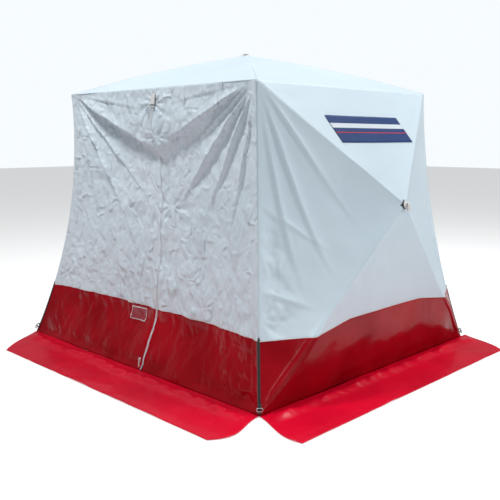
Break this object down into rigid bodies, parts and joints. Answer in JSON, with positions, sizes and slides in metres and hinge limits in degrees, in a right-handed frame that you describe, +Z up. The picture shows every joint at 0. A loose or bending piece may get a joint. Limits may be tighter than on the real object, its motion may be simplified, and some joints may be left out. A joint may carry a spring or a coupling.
{
  "type": "ice fishing shelter",
  "caption": "Hub-style pop-up ice fishing shelter with a zipped door wall, popped-out wall and roof hubs, a crimson skirt and ground flaps.",
  "frame": {"origin": "on the ground at the centre of the shelter", "axes": "+X through the right wall, -Y through the door wall, +Z up"},
  "size_m": [3.02, 2.84, 1.991],
  "materials": {
    "light_cloth": "coated woven polyester, light grey-blue, fine crinkle",
    "crimson_vinyl": "glossy coated vinyl, deep crimson",
    "flap_vinyl": "semi-gloss coated vinyl, red",
    "black_webbing": "woven black webbing",
    "white_webbing": "woven white webbing",
    "blue_banner": "printed blue cloth with a plain pale stripe",
    "clear_pocket": "clear film pocket over crimson vinyl",
    "hub_plastic": "moulded black nylon",
    "white_plastic": "moulded white plastic",
    "fibreglass": "pultruded fibreglass rod with steel ferrule",
    "steel": "zinc-plated steel",
    "eyelet_brass": "dull brass eyelet",
    "zip_chain": "pale coil zip on cloth tape"
  },
  "bodies": {
    "shelter": {"back_ground_flap": "flap_vinyl", "back_wall": "light_cloth", "corner_fittings": "hub_plastic", "corner_webbing": "black_webbing", "door_ground_flap": "flap_vinyl", "door_side_left": "light_cloth", "door_side_right": "light_cloth", "left_ground_flap": "flap_vinyl", "left_wall": "light_cloth", "right_ground_flap": "flap_vinyl", "right_wall": "light_cloth", "roof_canopy": "light_cloth", "stake_eyelets": "eyelet_brass", "wall_banner": "blue_banner", "wall_skirts": "crimson_vinyl"},
    "right_hub": {"right_hub_spider": "hub_plastic", "right_hub_cap": "white_plastic", "right_hub_pins": "steel", "right_pull_loop": "white_webbing"},
    "right_rod_1": {"right_rod_1": "fibreglass"},
    "right_rod_2": {"right_rod_2": "fibreglass"},
    "right_rod_3": {"right_rod_3": "fibreglass"},
    "right_rod_4": {"right_rod_4": "fibreglass"},
    "back_hub": {"back_hub_spider": "hub_plastic", "back_hub_cap": "white_plastic", "back_hub_pins": "steel", "back_pull_loop": "white_webbing"},
    "back_rod_1": {"back_rod_1": "fibreglass"},
    "back_rod_2": {"back_rod_2": "fibreglass"},
    "back_rod_3": {"back_rod_3": "fibreglass"},
    "back_rod_4": {"back_rod_4": "fibreglass"},
    "left_hub": {"left_hub_spider": "hub_plastic", "left_hub_cap": "white_plastic", "left_hub_pins": "steel", "left_pull_loop": "white_webbing"},
    "left_rod_1": {"left_rod_1": "fibreglass"},
    "left_rod_2": {"left_rod_2": "fibreglass"},
    "left_rod_3": {"left_rod_3": "fibreglass"},
    "left_rod_4": {"left_rod_4": "fibreglass"},
    "roof_hub": {"roof_hub_spider": "hub_plastic", "roof_hub_cap": "white_plastic", "roof_hub_pins": "steel"},
    "roof_rod_1": {"roof_rod_1": "fibreglass"},
    "roof_rod_2": {"roof_rod_2": "fibreglass"},
    "roof_rod_3": {"roof_rod_3": "fibreglass"},
    "roof_rod_4": {"roof_rod_4": "fibreglass"},
    "door_left": {"door_flap_left": "light_cloth", "door_skirt_left": "crimson_vinyl", "zip_chain_left": "zip_chain", "door_pocket": "clear_pocket", "door_top_tab": "white_webbing"},
    "door_right": {"door_flap_right": "light_cloth", "door_skirt_right": "crimson_vinyl", "zip_chain_right": "zip_chain"},
    "zip_slider": {"zip_slider": "white_plastic"},
    "zip_pull": {"zip_pull": "white_plastic"},
    "ring_front_right": {"corner_ring_front_right": "steel"},
    "ring_back_right": {"corner_ring_back_right": "steel"},
    "ring_back_left": {"corner_ring_back_left": "steel"},
    "ring_front_left": {"corner_ring_front_left": "steel"}
  },
  "joints": [
    {"name": "right_hub_pop", "type": "slide", "parent": "shelter", "child": "right_hub", "axis": [-0.99, 0, -0.1408], "range_m": [0, 0.61]},
    {"name": "right_rod_1_swing", "type": "hinge", "parent": "right_hub", "child": "right_rod_1", "pos_m": [1.28627, -0.02389, 1.05195], "axis": [-0.1051, 0.6652, 0.7392], "range_deg": [0, 36]},
    {"name": "right_rod_2_swing", "type": "hinge", "parent": "right_hub", "child": "right_rod_2", "pos_m": [1.28627, 0.02389, 1.05195], "axis": [0.1051, 0.6652, -0.7392], "range_deg": [0, 36]},
    {"name": "right_rod_3_swing", "type": "hinge", "parent": "right_hub", "child": "right_rod_3", "pos_m": [1.29239, 0.02303, 1.00887], "axis": [0.1013, -0.6943, -0.7125], "range_deg": [0, 26.7]},
    {"name": "right_rod_4_swing", "type": "hinge", "parent": "right_hub", "child": "right_rod_4", "pos_m": [1.29239, -0.02303, 1.00887], "axis": [-0.1013, -0.6943, 0.7125], "range_deg": [0, 26.7]},
    {"name": "back_hub_pop", "type": "slide", "parent": "shelter", "child": "back_hub", "axis": [0, -0.9918, -0.1277], "range_m": [0, 0.61]},
    {"name": "back_rod_1_swing", "type": "hinge", "parent": "back_hub", "child": "back_rod_1", "pos_m": [0.02497, 1.19526, 1.0488], "axis": [-0.6256, -0.0997, 0.7738], "range_deg": [0, 33.87]},
    {"name": "back_rod_2_swing", "type": "hinge", "parent": "back_hub", "child": "back_rod_2", "pos_m": [-0.02497, 1.19526, 1.0488], "axis": [-0.6256, 0.0997, -0.7738], "range_deg": [0, 33.87]},
    {"name": "back_rod_3_swing", "type": "hinge", "parent": "back_hub", "child": "back_rod_3", "pos_m": [-0.02411, 1.20051, 1.00808], "axis": [0.6577, 0.0962, -0.7471], "range_deg": [0, 25.19]},
    {"name": "back_rod_4_swing", "type": "hinge", "parent": "back_hub", "child": "back_rod_4", "pos_m": [0.02411, 1.20051, 1.00808], "axis": [0.6577, -0.0962, 0.7471], "range_deg": [0, 25.19]},
    {"name": "left_hub_pop", "type": "slide", "parent": "shelter", "child": "left_hub", "axis": [0.99, 0, -0.1408], "range_m": [0, 0.61]},
    {"name": "left_rod_1_swing", "type": "hinge", "parent": "left_hub", "child": "left_rod_1", "pos_m": [-1.28627, 0.02389, 1.05195], "axis": [0.1051, -0.6652, 0.7392], "range_deg": [0, 36]},
    {"name": "left_rod_2_swing", "type": "hinge", "parent": "left_hub", "child": "left_rod_2", "pos_m": [-1.28627, -0.02389, 1.05195], "axis": [-0.1051, -0.6652, -0.7392], "range_deg": [0, 36]},
    {"name": "left_rod_3_swing", "type": "hinge", "parent": "left_hub", "child": "left_rod_3", "pos_m": [-1.29239, -0.02303, 1.00887], "axis": [-0.1013, 0.6943, -0.7125], "range_deg": [0, 26.7]},
    {"name": "left_rod_4_swing", "type": "hinge", "parent": "left_hub", "child": "left_rod_4", "pos_m": [-1.29239, 0.02303, 1.00887], "axis": [0.1013, 0.6943, 0.7125], "range_deg": [0, 26.7]},
    {"name": "roof_hub_pop", "type": "slide", "parent": "shelter", "child": "roof_hub", "axis": [0, 0, -1], "range_m": [0, 0.532]},
    {"name": "roof_rod_1_swing", "type": "hinge", "parent": "roof_hub", "child": "roof_rod_1", "pos_m": [0.02373, -0.02147, 1.96], "axis": [-0.671, -0.7415, 0], "range_deg": [0, 27.88]},
    {"name": "roof_rod_2_swing", "type": "hinge", "parent": "roof_hub", "child": "roof_rod_2", "pos_m": [0.02373, 0.02147, 1.96], "axis": [0.671, -0.7415, 0], "range_deg": [0, 27.88]},
    {"name": "roof_rod_3_swing", "type": "hinge", "parent": "roof_hub", "child": "roof_rod_3", "pos_m": [-0.02373, 0.02147, 1.96], "axis": [0.671, 0.7415, 0], "range_deg": [0, 27.88]},
    {"name": "roof_rod_4_swing", "type": "hinge", "parent": "roof_hub", "child": "roof_rod_4", "pos_m": [-0.02373, -0.02147, 1.96], "axis": [-0.671, 0.7415, 0], "range_deg": [0, 27.88]},
    {"name": "door_left_fold", "type": "hinge", "parent": "shelter", "child": "door_left", "pos_m": [0.03, -0.824, 1.716], "axis": [-0.533, -0.1081, -0.8392], "range_deg": [0, 150]},
    {"name": "door_right_fold", "type": "hinge", "parent": "shelter", "child": "door_right", "pos_m": [0.03, -0.824, 1.716], "axis": [-0.5115, 0.1098, 0.8522], "range_deg": [0, 150]},
    {"name": "zip_slide", "type": "slide", "parent": "shelter", "child": "zip_slider", "axis": [-0.0577, 0.1275, 0.9902], "range_m": [0, 1.54853]},
    {"name": "zip_pull_lift", "type": "hinge", "parent": "zip_slider", "child": "zip_pull", "pos_m": [0.12567, -1.04833, 0.07595], "axis": [-0.9983, -0.0074, -0.0572], "range_deg": [0, 150]},
    {"name": "ring_front_right_swing", "type": "hinge", "parent": "shelter", "child": "ring_front_right", "pos_m": [1.14932, -1.04497, 0.049], "axis": [-0.7071, -0.7071, 0], "range_deg": [0, 100]},
    {"name": "ring_back_right_swing", "type": "hinge", "parent": "shelter", "child": "ring_back_right", "pos_m": [1.14932, 1.04497, 0.049], "axis": [0.7071, -0.7071, 0], "range_deg": [0, 100]},
    {"name": "ring_back_left_swing", "type": "hinge", "parent": "shelter", "child": "ring_back_left", "pos_m": [-1.14932, 1.04497, 0.049], "axis": [0.7071, 0.7071, 0], "range_deg": [0, 100]},
    {"name": "ring_front_left_swing", "type": "hinge", "parent": "shelter", "child": "ring_front_left", "pos_m": [-1.14932, -1.04497, 0.049], "axis": [-0.7071, 0.7071, 0], "range_deg": [0, 100]}
  ],
  "couplings": [
    {"joint": "right_rod_1_swing", "follows": "right_hub_pop", "rad_per_m": 1.0287},
    {"joint": "right_rod_2_swing", "follows": "right_hub_pop", "rad_per_m": 1.0287},
    {"joint": "right_rod_3_swing", "follows": "right_hub_pop", "rad_per_m": 0.76238},
    {"joint": "right_rod_4_swing", "follows": "right_hub_pop", "rad_per_m": 0.76238},
    {"joint": "back_rod_1_swing", "follows": "back_hub_pop", "rad_per_m": 0.96775},
    {"joint": "back_rod_2_swing", "follows": "back_hub_pop", "rad_per_m": 0.96775},
    {"joint": "back_rod_3_swing", "follows": "back_hub_pop", "rad_per_m": 0.71934},
    {"joint": "back_rod_4_swing", "follows": "back_hub_pop", "rad_per_m": 0.71934},
    {"joint": "left_rod_1_swing", "follows": "left_hub_pop", "rad_per_m": 1.0287},
    {"joint": "left_rod_2_swing", "follows": "left_hub_pop", "rad_per_m": 1.0287},
    {"joint": "left_rod_3_swing", "follows": "left_hub_pop", "rad_per_m": 0.76238},
    {"joint": "left_rod_4_swing", "follows": "left_hub_pop", "rad_per_m": 0.76238},
    {"joint": "roof_rod_1_swing", "follows": "roof_hub_pop", "rad_per_m": 0.91287},
    {"joint": "roof_rod_2_swing", "follows": "roof_hub_pop", "rad_per_m": 0.91287},
    {"joint": "roof_rod_3_swing", "follows": "roof_hub_pop", "rad_per_m": 0.91287},
    {"joint": "roof_rod_4_swing", "follows": "roof_hub_pop", "rad_per_m": 0.91287},
    {"joint": "door_right_fold", "follows": "door_left_fold", "ratio": 1},
    {"joint": "zip_slide", "follows": "door_left_fold", "m_per_rad": 0.5913}
  ]
}
